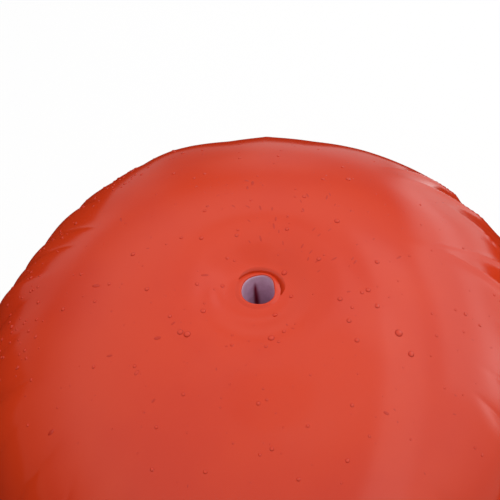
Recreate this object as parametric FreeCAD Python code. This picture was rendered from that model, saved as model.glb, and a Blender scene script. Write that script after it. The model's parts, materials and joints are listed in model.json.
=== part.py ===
"""Inflatable round signal buoy: a squat two-panel float with an open mast sleeve through its middle.

Millimetres, +Z up.  The origin is under the middle of the float, on the surface that it stands on.
The float is welded from coated fabric: a domed top panel and a domed bottom panel that meet in a
narrow weld around the widest line, with a straight sleeve from one panel to the other that takes
the signal mast.  Four towing rings hang from straps on the bottom panel, and a capped inflation
valve sits on the top panel just above the weld.
"""
import FreeCAD, Part
import math
import os

# ---- float ---------------------------------------------------------------------------------
BODY_HEIGHT = 244.0           # from the lowest to the highest line of the inflated float
EQUATOR_RADIUS = 190.0        # widest radius, at the weld between the two panels
WELD_WIDTH = 2.0              # flat edge of the weld outside the widest radius
SKIN = 0.8                    # coated fabric

# ---- panel profile, from the mouth of the sleeve outwards -----------------------------------
LAND_WIDTH = 4.2              # flat weld around the mouth
FUNNEL_RADIUS = 30.0          # arc that lifts the panel out of the mouth
FUNNEL_ANGLE = 20.0           # steepest slope of that rise, degrees
CROWN_RADIUS = 60.0           # arc over the highest line
CROWN_END_ANGLE = 8.0         # downward slope where the crown runs into the shoulder, degrees
EDGE_RADIUS = 100.0           # arc that rolls over to the weld

# ---- mast sleeve ----------------------------------------------------------------------------
MAST_BORE_RADIUS = 10.0
SLEEVE_WALL = 0.8
SLEEVE_CLEARANCE = 0.3        # sleeve to the hole in each panel
COLLAR_THICKNESS = 1.0        # ring welded over the sleeve's end and the panel's flat weld

# ---- patches ---------------------------------------------------------------------------------
GLUE_LINE = 0.1               # between two curved layers
PATCH_THICKNESS = 0.8
SECTOR_MARGIN = 1.4           # curved layers are drawn this much wider than the piece cut from them

# ---- towing rings ----------------------------------------------------------------------------
RING_AZIMUTHS = {"right": 0.0, "back": 90.0, "left": 180.0, "front": 270.0}
RING_LATITUDE = 32.0          # how far the patch faces down from the horizontal, degrees
RING_WIRE = 4.0               # wire diameter
RING_INNER_WIDTH = 26.0
RING_LEG = 5.0                # straight leg between the bar's corner and the round end
RING_CORNER_RADIUS = 4.0      # centre line of the corners at the bar
BAR_CLEARANCE = 0.3           # bar to the strap and to the patch
RING_PATCH_RADIUS = 20.0
STRAP_WIDTH = 18.0
STRAP_THICKNESS = 0.9
STRAP_TAIL = 13.0             # from the bar to each end of the strap

# ---- inflation valve -------------------------------------------------------------------------
VALVE_AZIMUTH = 300.0
VALVE_LATITUDE = 20.0         # how far the valve faces up from the horizontal, degrees
VALVE_PATCH_RADIUS = 26.0
THROAT_RADIUS = 6.0
NECK_RADIUS = 9.0
NECK_HEIGHT = 12.0            # from the panel to the rim
FLANGE_RADIUS = 18.0
FLANGE_THICKNESS = 1.2
FLAP_THICKNESS = 1.0
FLAP_OVERLAP = 2.0            # flap beyond the throat, all round
FLAP_GAP = 0.5                # flap to the inside of the panel
CAP_CLEARANCE = 1.0           # skirt to neck
CAP_SEAT = 0.3                # cap to rim, and tether to neck and flange
CAP_WALL = 2.0
CAP_SKIRT = 6.0               # skirt below the rim
CAP_TAB_LENGTH = 4.5          # finger tab on the free edge
CAP_TAB_WIDTH = 9.0
TETHER_THICKNESS = 1.6        # ring round the neck, and its tongue
TETHER_RING_WIDTH = 2.4
TONGUE_WIDTH = 7.0
FOLD_GAP = 0.4                # across the tether's fold line
FOLD_OFFSET = 5.0             # fold line, at the top of the tongue, beyond the cap's skirt

# ---- worked out ------------------------------------------------------------------------------
MIDDLE = BODY_HEIGHT / 2
SLEEVE_OUTER = MAST_BORE_RADIUS + SLEEVE_WALL
LAND_HOLE = SLEEVE_OUTER + SLEEVE_CLEARANCE
LAND_RADIUS = SLEEVE_OUTER + LAND_WIDTH
MOUTH_HEIGHT = MIDDLE - (FUNNEL_RADIUS + CROWN_RADIUS) * (1 - math.cos(math.radians(FUNNEL_ANGLE)))
EDGE_CENTRE = EQUATOR_RADIUS - EDGE_RADIUS
WIRE_RADIUS = RING_WIRE / 2
PATCH_FACE = GLUE_LINE + PATCH_THICKNESS
SECOND_LAYER = PATCH_FACE + GLUE_LINE
BAR_REACH = PATCH_FACE + BAR_CLEARANCE + WIRE_RADIUS
FLAP_RADIUS = THROAT_RADIUS + FLAP_OVERLAP
CAP_INNER = NECK_RADIUS + CAP_CLEARANCE
CAP_OUTER = CAP_INNER + CAP_WALL
FOLD_HEIGHT = CAP_OUTER + FOLD_OFFSET
FOLD_REACH = NECK_HEIGHT - CAP_SKIRT / 2

ORIGIN = FreeCAD.Vector(0, 0, 0)
UP = FreeCAD.Vector(0, 0, 1)
OUT = FreeCAD.Vector(1, 0, 0)
ALONG = FreeCAD.Vector(0, 1, 0)
TURN = 360.0


# ---- drawing helpers -------------------------------------------------------------------------
def point(radius, height):
    """A point of the XZ plane, measured from the float's middle."""
    return FreeCAD.Vector(radius, 0, height)


def heading(angle):
    """The unit vector of the XZ plane at an angle in degrees, 0 outwards and 90 up."""
    turn = math.radians(angle)
    return point(math.cos(turn), math.sin(turn))


def arc(centre, radius, start, end):
    """An arc in the XZ plane between two headings."""
    middle = (start + end) / 2
    points = [centre + radius * heading(angle) for angle in (start, middle, end)]
    return Part.Arc(*points).toShape()


def line(first, second):
    """A straight edge."""
    return Part.LineSegment(first, second).toShape()


def ends(edge):
    """The first and last point of an edge."""
    return edge.valueAt(edge.FirstParameter), edge.valueAt(edge.LastParameter)


def revolved(edges, first_angle=0.0, angle=TURN):
    """The solid that a closed profile sweeps about the float's axis."""
    face = Part.Face(Part.Wire(Part.__sortEdges__(edges)))
    return face.revolve(ORIGIN, UP, angle).rotated(ORIGIN, UP, first_angle)


def slab(reach, breadth, height):
    """A box from three ranges: outwards, sideways and up."""
    corner = FreeCAD.Vector(reach[0], breadth[0], height[0])
    return Part.makeBox(reach[1] - reach[0], breadth[1] - breadth[0], height[1] - height[0], corner)


def barrel(radius, reach):
    """A cylinder about the outward axis, between two reaches."""
    return Part.makeCylinder(radius, reach[1] - reach[0], point(reach[0], 0), OUT)


# ---- panels and sleeve -----------------------------------------------------------------------
def panel_arcs():
    """Centre, radius, first and last heading of the top panel's four arcs, from the mouth to the weld."""
    funnel_centre = point(LAND_RADIUS, MOUTH_HEIGHT + FUNNEL_RADIUS)
    crown_start = 90 + FUNNEL_ANGLE
    crown_centre = funnel_centre - (FUNNEL_RADIUS + CROWN_RADIUS) * heading(crown_start)
    crown_end = 90 - CROWN_END_ANGLE
    shoulder_start = crown_centre + CROWN_RADIUS * heading(crown_end)
    edge_centre = point(EDGE_CENTRE, 0)
    span = shoulder_start - edge_centre
    surplus = span.dot(heading(crown_end)) - EDGE_RADIUS
    shoulder_radius = (span.dot(span) - EDGE_RADIUS ** 2) / (2 * surplus)
    shoulder_centre = shoulder_start - shoulder_radius * heading(crown_end)
    rise = edge_centre - shoulder_centre
    shoulder_end = math.degrees(math.atan2(rise.z, rise.x))
    return [
        (funnel_centre, -FUNNEL_RADIUS, -90, -90 + FUNNEL_ANGLE),
        (crown_centre, CROWN_RADIUS, crown_start, crown_end),
        (shoulder_centre, shoulder_radius, crown_end, shoulder_end),
        (edge_centre, EDGE_RADIUS, shoulder_end, 0),
    ]


def panel_curve(depth, edge_height=0.0):
    """The top panel's five edges at a depth below its outer face; the last ends at a height."""
    arcs = panel_arcs()
    edge_centre, edge_radius, edge_start, _ = arcs.pop()
    edge_end = math.degrees(math.asin(edge_height / (edge_radius - depth)))
    land = line(point(LAND_HOLE, MOUTH_HEIGHT - depth), point(LAND_RADIUS, MOUTH_HEIGHT - depth))
    bends = [arc(centre, abs(radius - depth), start, end) for centre, radius, start, end in arcs]
    return [land] + bends + [arc(edge_centre, edge_radius - depth, edge_start, edge_end)]


def make_panel():
    """Domed fabric panel, dished into the mouth of the sleeve, with its half of the weld."""
    outer = panel_curve(0, SKIN)
    inner = panel_curve(SKIN)
    mouth_edge = line(ends(outer[0])[0], ends(inner[0])[0])
    weld_reach = EQUATOR_RADIUS + WELD_WIDTH
    weld_face = line(ends(outer[-1])[1], point(weld_reach, SKIN))
    weld_tip = line(point(weld_reach, SKIN), point(weld_reach, 0))
    weld_joint = line(point(weld_reach, 0), ends(inner[-1])[1])
    return revolved(outer + inner + [mouth_edge, weld_face, weld_tip, weld_joint])


def sector(breadth):
    """The angle about the axis that takes in a breadth near the widest line, with room to spare."""
    return SECTOR_MARGIN * math.degrees(breadth / EQUATOR_RADIUS)


def panel_layer(inside, outside, breadth):
    """A curved layer of the outer half of the panel, between two offsets from its outer face."""
    outer = panel_curve(-outside)[-2:]
    inner = panel_curve(-inside)[-2:]
    upper = line(ends(outer[0])[0], ends(inner[0])[0])
    lower = line(ends(outer[-1])[1], ends(inner[-1])[1])
    reach = sector(breadth)
    return revolved(outer + inner + [upper, lower], -reach / 2, reach)


def panel_core(outside, breadth):
    """Everything behind an offset of the outer half of the panel's outer face."""
    outer = panel_curve(-outside)[-2:]
    top = ends(outer[0])[0]
    foot = point(top.x, 0)
    reach = sector(breadth)
    return revolved(outer + [line(top, foot), line(foot, ends(outer[-1])[1])], -reach / 2, reach)


def make_top_panel(panel):
    """The upper panel, with the hole that the valve breathes through."""
    hole = at_latitude(barrel(THROAT_RADIUS, (-FLANGE_RADIUS, FLANGE_RADIUS)), VALVE_LATITUDE)
    return panel.cut(hole.rotated(ORIGIN, UP, VALVE_AZIMUTH))


def make_sleeve():
    """Straight tube that carries the mast, from one mouth to the other."""
    base = point(0, -MOUTH_HEIGHT)
    outside = Part.makeCylinder(SLEEVE_OUTER, 2 * MOUTH_HEIGHT, base)
    return outside.cut(Part.makeCylinder(MAST_BORE_RADIUS, 2 * MOUTH_HEIGHT, base))


def make_collar():
    """Flat ring over the sleeve's upper end and the panel's weld."""
    base = point(0, MOUTH_HEIGHT)
    ring = Part.makeCylinder(LAND_RADIUS, COLLAR_THICKNESS, base)
    return ring.cut(Part.makeCylinder(MAST_BORE_RADIUS, COLLAR_THICKNESS, base))


# ---- pieces on the panels, drawn at azimuth 0 ------------------------------------------------
def panel_point(latitude):
    """The point of the panel's outer face that faces a latitude, on the shoulder or on the edge arc."""
    shoulder, edge = panel_arcs()[-2:]
    centre, radius = shoulder[:2] if latitude > edge[2] else edge[:2]
    return centre + radius * heading(latitude)


def at_latitude(shape, latitude):
    """A shape drawn on the outward axis, set square on the panel at a latitude."""
    return shape.rotated(ORIGIN, ALONG, -latitude).translated(panel_point(latitude))


def round_patch(inside, outside, radius, latitude):
    """A round piece of a curved layer, centred at a latitude."""
    cutter = at_latitude(barrel(radius, (-radius, radius)), latitude)
    return panel_layer(inside, outside, 2 * radius).common(cutter)


def make_ring_patch():
    """Round fabric patch that spreads the ring's pull."""
    return round_patch(GLUE_LINE, PATCH_FACE, RING_PATCH_RADIUS, RING_LATITUDE)


def make_ring_strap():
    """Fabric strap over the ring's bar, welded to the patch above and below it."""
    half = STRAP_WIDTH / 2
    eye = WIRE_RADIUS + BAR_CLEARANCE
    hump = eye + STRAP_THICKNESS
    breadth = (-half, half)
    bar_start = FreeCAD.Vector(BAR_REACH, -half, 0)
    window = slab((-RING_PATCH_RADIUS, RING_PATCH_RADIUS), breadth, (-STRAP_TAIL, STRAP_TAIL))
    arch = slab((-hump, BAR_REACH), breadth, (-hump, hump))
    arch = arch.fuse(Part.makeCylinder(hump, STRAP_WIDTH, bar_start, ALONG))
    space = slab((-hump, BAR_REACH), breadth, (-eye, eye))
    space = space.fuse(Part.makeCylinder(eye, STRAP_WIDTH, bar_start, ALONG))
    window, arch, space = [at_latitude(shape, RING_LATITUDE) for shape in (window, arch, space)]
    tails = panel_layer(SECOND_LAYER, SECOND_LAYER + STRAP_THICKNESS, STRAP_WIDTH).common(window)
    arch = arch.cut(panel_core(SECOND_LAYER, STRAP_WIDTH))
    return tails.fuse(arch).cut(space).removeSplitter()


def make_d_ring():
    """Wire ring with a straight bar; it hangs down once the set is flipped under the float."""
    half = RING_INNER_WIDTH / 2 + WIRE_RADIUS
    corner = RING_CORNER_RADIUS
    leg_end = corner + RING_LEG
    bend = corner * (1 - math.sqrt(0.5))
    bar_centre = panel_point(RING_LATITUDE) + BAR_REACH * heading(RING_LATITUDE)

    def at(breadth, drop):
        return bar_centre + FreeCAD.Vector(0, breadth, drop)
    path = Part.Wire([
        line(at(-half + corner, 0), at(half - corner, 0)),
        Part.Arc(at(half - corner, 0), at(half - bend, bend), at(half, corner)).toShape(),
        line(at(half, corner), at(half, leg_end)),
        Part.Arc(at(half, leg_end), at(0, leg_end + half), at(-half, leg_end)).toShape(),
        line(at(-half, leg_end), at(-half, corner)),
        Part.Arc(at(-half, corner), at(-half + bend, bend), at(-half + corner, 0)).toShape(),
    ])
    section = Part.Wire(Part.Circle(at(-half + corner, 0), ALONG, WIRE_RADIUS).toShape())
    return path.makePipeShell([section], True, False)


def make_valve_patch():
    """Round fabric patch under the valve's flange."""
    patch = round_patch(GLUE_LINE, PATCH_FACE, VALVE_PATCH_RADIUS, VALVE_LATITUDE)
    return patch.cut(at_latitude(barrel(THROAT_RADIUS, (-FLANGE_RADIUS, FLANGE_RADIUS)), VALVE_LATITUDE))


def make_valve_body():
    """Moulded flange with the neck that the cap closes."""
    flange = round_patch(SECOND_LAYER, SECOND_LAYER + FLANGE_THICKNESS, FLANGE_RADIUS, VALVE_LATITUDE)
    neck = at_latitude(barrel(NECK_RADIUS, (-NECK_RADIUS, NECK_HEIGHT)), VALVE_LATITUDE)
    neck = neck.cut(panel_core(SECOND_LAYER, 2 * FLANGE_RADIUS))
    throat = at_latitude(barrel(THROAT_RADIUS, (-NECK_RADIUS, NECK_HEIGHT)), VALVE_LATITUDE)
    return flange.fuse(neck).cut(throat).removeSplitter()


def make_valve_flap():
    """One-way flap against the inside of the panel, behind the throat."""
    face = -SKIN - FLAP_GAP
    return round_patch(face - FLAP_THICKNESS, face, FLAP_RADIUS, VALVE_LATITUDE)


def make_cap_tether():
    """Moulded ring round the neck, with the tongue that the cap folds on."""
    base = SECOND_LAYER + FLANGE_THICKNESS + CAP_SEAT
    thickness = (base, base + TETHER_THICKNESS)
    inner = NECK_RADIUS + CAP_SEAT
    half = TONGUE_WIDTH / 2
    ring = barrel(inner + TETHER_RING_WIDTH, thickness)
    tongue = slab(thickness, (-half, half), (inner, FOLD_HEIGHT))
    riser_height = (FOLD_HEIGHT - TETHER_THICKNESS, FOLD_HEIGHT)
    riser = slab((base, FOLD_REACH - FOLD_GAP / 2), (-half, half), riser_height)
    tether = ring.fuse([tongue, riser]).cut(barrel(inner, thickness)).removeSplitter()
    return at_latitude(tether, VALVE_LATITUDE)


def make_valve_cap():
    """Push-on cap with its half of the folding tongue and a finger tab."""
    skirt_end = NECK_HEIGHT - CAP_SKIRT
    top = NECK_HEIGHT + CAP_SEAT + CAP_WALL
    shell = barrel(CAP_OUTER, (skirt_end, top)).cut(barrel(CAP_INNER, (skirt_end, top - CAP_WALL)))
    half = TONGUE_WIDTH / 2
    fold_side = FOLD_REACH + FOLD_GAP / 2
    tongue_height = (CAP_INNER + CAP_WALL / 2, FOLD_HEIGHT)
    tongue = slab((fold_side, fold_side + TETHER_THICKNESS), (-half, half), tongue_height)
    tab_half = CAP_TAB_WIDTH / 2
    tab_height = (-CAP_OUTER - CAP_TAB_LENGTH, -CAP_INNER)
    tab = slab((top - CAP_WALL, top), (-tab_half, tab_half), tab_height)
    return at_latitude(shell.fuse([tongue, tab]).removeSplitter(), VALVE_LATITUDE)


# ---- assembly --------------------------------------------------------------------------------
def lifted(shape):
    """The shape with the float's middle moved up to its height."""
    return shape.translated(FreeCAD.Vector(0, 0, MIDDLE))


def flipped(shape):
    """The shape mirrored to the underside of the float."""
    return shape.mirror(ORIGIN, UP)


def build():
    """Every piece by name, in place."""
    panel = make_panel()
    collar = make_collar()
    pieces = {
        "top_panel": make_top_panel(panel),
        "bottom_panel": flipped(panel),
        "mast_sleeve": make_sleeve(),
        "top_collar": collar,
        "bottom_collar": flipped(collar),
    }
    ring_pieces = {"ring_patch": make_ring_patch(), "ring_strap": make_ring_strap(), "d_ring": make_d_ring()}
    for side, azimuth in RING_AZIMUTHS.items():
        for name, shape in ring_pieces.items():
            pieces[side + "_" + name] = flipped(shape).rotated(ORIGIN, UP, azimuth)
    valve_pieces = {
        "valve_patch": make_valve_patch(),
        "valve_body": make_valve_body(),
        "valve_flap": make_valve_flap(),
        "cap_tether": make_cap_tether(),
        "valve_cap": make_valve_cap(),
    }
    for name, shape in valve_pieces.items():
        pieces[name] = shape.rotated(ORIGIN, UP, VALVE_AZIMUTH)
    return {name: lifted(shape) for name, shape in pieces.items()}


def as_solid(shape):
    """The single solid that a shape holds, with its faces outwards."""
    solid = shape.Solids[0] if shape.Solids else Part.Solid(shape.Shells[0])
    return solid if solid.Volume > 0 else Part.Solid(solid.reversed().Shells[0])


def main():
    """Write one file for each piece."""
    os.makedirs("parts", exist_ok=True)
    for name, shape in build().items():
        solid = as_solid(shape)
        print(f"{name:20s} solids {len(shape.Solids)} valid {solid.isValid()} volume {solid.Volume:10.1f}")
        solid.exportStep(os.path.join("parts", name + ".step"))


main()
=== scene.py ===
import json
import logging
import math
from dataclasses import dataclass, field
from enum import Enum
from typing import Iterable, Optional, Sequence

import bpy
import numpy as np
from mathutils import Matrix, Vector


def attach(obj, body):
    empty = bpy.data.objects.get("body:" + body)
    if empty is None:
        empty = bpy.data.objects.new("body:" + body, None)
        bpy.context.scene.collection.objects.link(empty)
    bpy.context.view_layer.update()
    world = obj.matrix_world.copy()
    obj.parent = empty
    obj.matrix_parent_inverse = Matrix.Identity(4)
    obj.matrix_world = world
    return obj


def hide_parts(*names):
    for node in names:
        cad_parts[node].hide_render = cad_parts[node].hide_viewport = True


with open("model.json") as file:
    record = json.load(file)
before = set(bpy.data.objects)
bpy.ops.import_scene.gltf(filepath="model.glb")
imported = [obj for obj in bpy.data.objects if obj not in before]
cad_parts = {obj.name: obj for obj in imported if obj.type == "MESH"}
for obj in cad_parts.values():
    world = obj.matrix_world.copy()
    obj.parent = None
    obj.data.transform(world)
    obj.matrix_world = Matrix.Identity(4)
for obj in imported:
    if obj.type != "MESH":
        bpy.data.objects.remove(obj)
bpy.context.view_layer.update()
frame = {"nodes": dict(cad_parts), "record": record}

LOG = logging.getLogger("signal_buoy")
MM = 0.001
TURN = 2.0 * math.pi
FLOAT_BODY = "float"
BOTH_ENDS = (0, -1)

Array = np.ndarray
Colour = tuple[float, float, float, float]
Material = bpy.types.Material
Pair = tuple[float, float]
Three = tuple[float, float, float]
Piece = bpy.types.Object
Socket = bpy.types.NodeSocket


class Slot(Enum):
    """The record's material slots."""

    COATED = "coated_fabric"
    SLEEVE = "sleeve_fabric"
    STRAP = "strap_fabric"
    STEEL = "ring_steel"
    PLASTIC = "valve_plastic"
    RUBBER = "valve_rubber"


class Side(Enum):
    """The upper or the lower half of the float."""

    TOP = 1
    BOTTOM = -1

    def named(self, piece: str) -> str:
        """A piece's name with the side in front."""
        return f"{self.name.lower()}_{piece}"


# ---- shader maths ----------------------------------------------------------------------------
class Value:
    """A number socket that adds Math nodes for the operators used on it."""

    def __init__(self, graph: "Graph", socket: Socket) -> None:
        """Wrap a socket of a graph."""
        self.graph = graph
        self.socket = socket

    def __add__(self, other: object) -> "Value":
        """self + other."""
        return self.graph.math("ADD", self, other)

    def __mul__(self, other: object) -> "Value":
        """self * other."""
        return self.graph.math("MULTIPLY", self, other)

    def sine(self) -> "Value":
        """The sine of the value."""
        return self.graph.math("SINE", self)

    def ramp(self, low: float, high: float) -> "Value":
        """A smooth step from 0 to 1.

        Args:
            low: the value at which the step starts.
            high: the value at which it is over.

        Returns:
            The stepped value.
        """
        settings = {"interpolation_type": "SMOOTHSTEP", "clamp": True}
        node = self.graph.node("MapRange", settings, {0: self, 1: low, 2: high})
        return Value(self.graph, node.outputs[0])


class Graph:
    """The node tree of one material or of the world."""

    def __init__(self, owner: bpy.types.ID) -> None:
        """Empty the owner's node tree and keep it.

        Args:
            owner: a material or a world.
        """
        owner.use_nodes = True
        self.tree = owner.node_tree
        self.tree.nodes.clear()

    def node(self, kind: str, settings: Optional[dict] = None, inputs: Optional[dict] = None) -> bpy.types.Node:
        """Add a node.

        Args:
            kind: the node's type name, without its prefix.
            settings: its properties, set first.
            inputs: numbers, colours, sockets or values by input name or index.

        Returns:
            The new node.
        """
        node = self.tree.nodes.new("ShaderNode" + kind)
        for name, value in (settings or {}).items():
            setattr(node, name, value)
        for key, value in (inputs or {}).items():
            self.link(node.inputs[key], value)
        return node

    def link(self, socket: Socket, value: object) -> None:
        """Feed a socket.

        Args:
            socket: the input socket.
            value: a value or a socket to link, or a constant to set.
        """
        if isinstance(value, Value):
            self.tree.links.new(value.socket, socket)
        elif isinstance(value, Socket):
            self.tree.links.new(value, socket)
        else:
            socket.default_value = value

    def math(self, operation: str, *operands: object) -> Value:
        """A Math node's result."""
        node = self.node("Math", {"operation": operation}, dict(enumerate(operands)))
        return Value(self, node.outputs[0])

    def mix(self, factor: object, first: object, second: object) -> Socket:
        """A colour Mix node's result, the factor being the share of the second colour."""
        return self.node("Mix", {"data_type": "RGBA"}, {0: factor, 6: first, 7: second}).outputs[2]

    def mark(self, name: str) -> Value:
        """A number that the mesh carries under a name."""
        return Value(self, self.node("Attribute", {"attribute_name": name}).outputs["Fac"])

    def noise(self, scale: float, detail: float = 2.0, rough: float = 0.5) -> Value:
        """Smooth noise over object coordinates.

        Args:
            scale: cells a metre.
            detail: octaves.
            rough: how strong each finer octave is.

        Returns:
            Noise about 0.5.
        """
        place = self.node("TexCoord").outputs["Object"]
        inputs = {"Vector": place, "Scale": scale, "Detail": detail, "Roughness": rough}
        return Value(self, self.node("TexNoise", None, inputs).outputs["Fac"])

    def bump(self, height: object, distance: float, under: Optional[Socket] = None) -> Socket:
        """A bumped normal.

        Args:
            height: height from 0 to 1.
            distance: what 1 is, in metres.
            under: a normal to add it to.

        Returns:
            The normal's socket.
        """
        inputs = {"Height": height, "Distance": distance}
        if under is not None:
            inputs["Normal"] = under
        return self.node("Bump", None, inputs).outputs[0]

    def white(self, strength: object, kind: str = "Emission") -> Socket:
        """A white light; the kind is Emission on a surface and Background in the world."""
        return self.node(kind, None, {"Color": grey(1.0), "Strength": strength}).outputs[0]

    def matt(self, level: float) -> Socket:
        """A matt grey surface."""
        return self.node("BsdfDiffuse", None, {"Color": grey(level)}).outputs[0]

    def blend(self, factor: object, first: Socket, second: Socket) -> Socket:
        """Two shaders mixed, the factor being the share of the second."""
        return self.node("MixShader", None, {0: factor, 1: first, 2: second}).outputs[0]

    def finish(self, shader: Socket, output: str = "OutputMaterial") -> None:
        """Link a shader to the tree's output."""
        self.node(output, None, {"Surface": shader})


def new_material(name: str) -> tuple[Material, Graph]:
    """A named material with an empty graph."""
    material = bpy.data.materials.new(name)
    return material, Graph(material)


def grey(level: float) -> Colour:
    """A neutral colour."""
    return (level, level, level, 1.0)


# ---- finishes --------------------------------------------------------------------------------
@dataclass(frozen=True)
class Finish:
    """A material with one surface, whose inputs each kind of finish gives."""

    name: str

    def inputs(self, graph: Graph) -> dict:
        """The surface's inputs by name."""
        raise NotImplementedError

    def material(self) -> Material:
        """Build the material.

        Returns:
            The new material, under the finish's name.
        """
        material, graph = new_material(self.name)
        graph.finish(graph.node("BsdfPrincipled", None, self.inputs(graph)).outputs[0])
        return material


@dataclass(frozen=True)
class CoatedFabric(Finish):
    """Woven cloth with a coloured plastic coat: saturated colour, soft sheen, a faint weave."""

    name: str = "coated_fabric"
    colour: Colour = (0.66, 0.045, 0.0108, 1.0)
    deep: Colour = (0.63, 0.038, 0.0098, 1.0)
    clouds: float = 14.0
    thread: float = 1.15 * MM
    thread_height: float = 0.03 * MM
    grain: float = 260.0
    grain_height: float = 0.03 * MM
    roughness: float = 0.5
    coat: float = 0.6
    coat_roughness: float = 0.14

    def inputs(self, graph: Graph) -> dict:
        """Inputs for a weave sin(u) * sin(v) along the cloth's two ways, under a fine grain.

        Args:
            graph: the material's graph.

        Returns:
            The surface's inputs.
        """
        pitch = TURN / self.thread
        weave = (graph.mark("warp") * pitch).sine() * (graph.mark("weft") * pitch).sine() * 0.5 + 0.5
        woven = graph.bump(weave, self.thread_height)
        cloudy = graph.noise(self.clouds, 3.0).ramp(0.35, 0.65)
        return {"Base Color": graph.mix(cloudy, self.deep, self.colour), "Roughness": self.roughness,
                "Specular IOR Level": 0.0, "Coat Weight": self.coat, "Coat Roughness": self.coat_roughness,
                "Coat IOR": 1.5, "Normal": graph.bump(graph.noise(self.grain, 3.0, 0.6), self.grain_height, woven)}


@dataclass(frozen=True)
class SleeveFabric(Finish):
    """The pale uncoated side of the cloth, matt, with painted shade in its lengthwise crease."""

    name: str = "sleeve_fabric"
    colour: Colour = (0.80, 0.56, 0.72, 1.0)
    deep: Colour = (0.70, 0.46, 0.60, 1.0)
    # colour of the painted shade in the crease: deep red, as shade lit by light bounced off the red cloth
    crease: Colour = (0.36, 0.02, 0.06, 1.0)
    clouds: float = 220.0
    grain: float = 900.0
    grain_height: float = 0.05 * MM

    def inputs(self, graph: Graph) -> dict:
        """Inputs for two pale tones in clouds, with the painted shade of the crease over them.

        Args:
            graph: the material's graph.

        Returns:
            The surface's inputs.
        """
        colour = graph.mix(graph.noise(self.clouds, 3.0).ramp(0.35, 0.7), self.deep, self.colour)
        return {"Base Color": graph.mix(graph.mark("crease"), colour, self.crease), "Roughness": 0.8,
                "Specular IOR Level": 0.2, "Normal": graph.bump(graph.noise(self.grain), self.grain_height)}


@dataclass(frozen=True)
class Steel(Finish):
    """Polished stainless wire with fine drawing marks."""

    name: str = "ring_steel"
    colour: Colour = (0.62, 0.63, 0.65, 1.0)
    marks: float = 1500.0
    mark_height: float = 0.01 * MM

    def inputs(self, graph: Graph) -> dict:
        """Inputs for bare metal whose marks change its roughness and its height.

        Args:
            graph: the material's graph.

        Returns:
            The surface's inputs.
        """
        marks = graph.noise(self.marks, 2.0, 0.6)
        return {"Base Color": self.colour, "Metallic": 1.0, "Roughness": marks * 0.12 + 0.16,
                "Normal": graph.bump(marks, self.mark_height)}


@dataclass(frozen=True)
class Moulded(Finish):
    """Black moulded plastic or rubber with a fine spark-eroded grain."""

    level: float = 0.03
    roughness: float = 0.42
    grain: float = 2600.0
    grain_height: float = 0.02 * MM

    def inputs(self, graph: Graph) -> dict:
        """Inputs for a dark grey whose grain changes its roughness and its height.

        Args:
            graph: the material's graph.

        Returns:
            The surface's inputs.
        """
        grain = graph.noise(self.grain, 2.0, 0.6)
        return {"Base Color": grey(self.level), "Roughness": grain * 0.2 + (self.roughness - 0.1),
                "Normal": graph.bump(grain, self.grain_height)}


@dataclass(frozen=True)
class StrapFabric(Finish):
    """Thick coated strap: ribs along it, and a waffle mark where its tails are welded down."""

    name: str = "strap_fabric"
    colour: Colour = (0.55, 0.034, 0.013, 1.0)
    # colour of the painted shade in the strap's low parts
    deep: Colour = (0.46, 0.024, 0.009, 1.0)
    rib: float = 1.5 * MM
    waffle: float = 1.1 * MM
    tail_start: float = 6.0 * MM
    tail_run: float = 1.0 * MM
    height: float = 0.10 * MM

    def inputs(self, graph: Graph) -> dict:
        """Inputs for ribs sin(v) and, beyond the tails' start, squares sin(u) * sin(v); the colour is painted shade
        and light by their height, deep in the low parts and lighter on the raised ones.

        Args:
            graph: the material's graph.

        Returns:
            The surface's inputs.
        """
        along, across = graph.mark("warp"), graph.mark("weft")
        ribs = (across * (TURN / self.rib)).sine() * 0.5 + 0.5
        squares = (along * (TURN / self.waffle)).sine() * (across * (TURN / self.waffle)).sine()
        tail = graph.math("ABSOLUTE", along).ramp(self.tail_start, self.tail_start + self.tail_run)
        height = ribs * 0.35 + squares.ramp(-0.2, 0.4) * tail
        # painted shade and light: the colour darkens in the low parts of the ribs and squares and lightens on their
        # crests
        return {"Base Color": graph.mix(height.ramp(0.1, 1.0), self.deep, self.colour), "Roughness": 0.5,
                "Specular IOR Level": 0.1, "Coat Weight": 0.45, "Coat Roughness": 0.22, "Coat IOR": 1.5,
                "Normal": graph.bump(height, self.height)}


@dataclass(frozen=True)
class Droplet(Finish):
    """A water bead on the red cloth, very glossy: painted light, a little lighter than the cloth, in its middle and
    painted shade, deep red, round its foot.
    """

    name: str = "water_bead"
    # colours of the painted lens shading: a little lighter than the cloth in the middle, painted shade at the foot
    centre: Colour = (0.66, 0.050, 0.020, 1.0)
    foot: Colour = (0.54, 0.030, 0.011, 1.0)

    def inputs(self, graph: Graph) -> dict:
        """Inputs for a colour that goes from the centre's painted light to the foot's painted shade."""
        colour = graph.mix(graph.mark("foot").ramp(0.1, 0.9), self.centre, self.foot)
        return {"Base Color": colour, "Roughness": 0.12, "IOR": 1.33}


# ---- surfaces --------------------------------------------------------------------------------
def eased(value: Array, start: float = 0.0, length: float = 1.0) -> Array:
    """0 up to the start, 1 from start + length on, and 3t^2 - 2t^3 between."""
    t = np.clip((value - start) / length, 0.0, 1.0)
    return t * t * (3.0 - 2.0 * t)


def steps_round(columns: int) -> Array:
    """Even angles once round, the first being 0."""
    return np.linspace(0, TURN, columns, endpoint=False)


def degrees_off(azimuth: Array, middle: float) -> Array:
    """How far azimuths lie from a middle, from -180 to 180 degrees."""
    return (azimuth - middle + 180.0) % 360.0 - 180.0


def polar(radius: Array, azimuth: Array, level: Array) -> Array:
    """Points from radius, azimuth in radians and level, with x, y and z last."""
    return np.stack(np.broadcast_arrays(radius * np.cos(azimuth), radius * np.sin(azimuth), level), -1)


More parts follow.
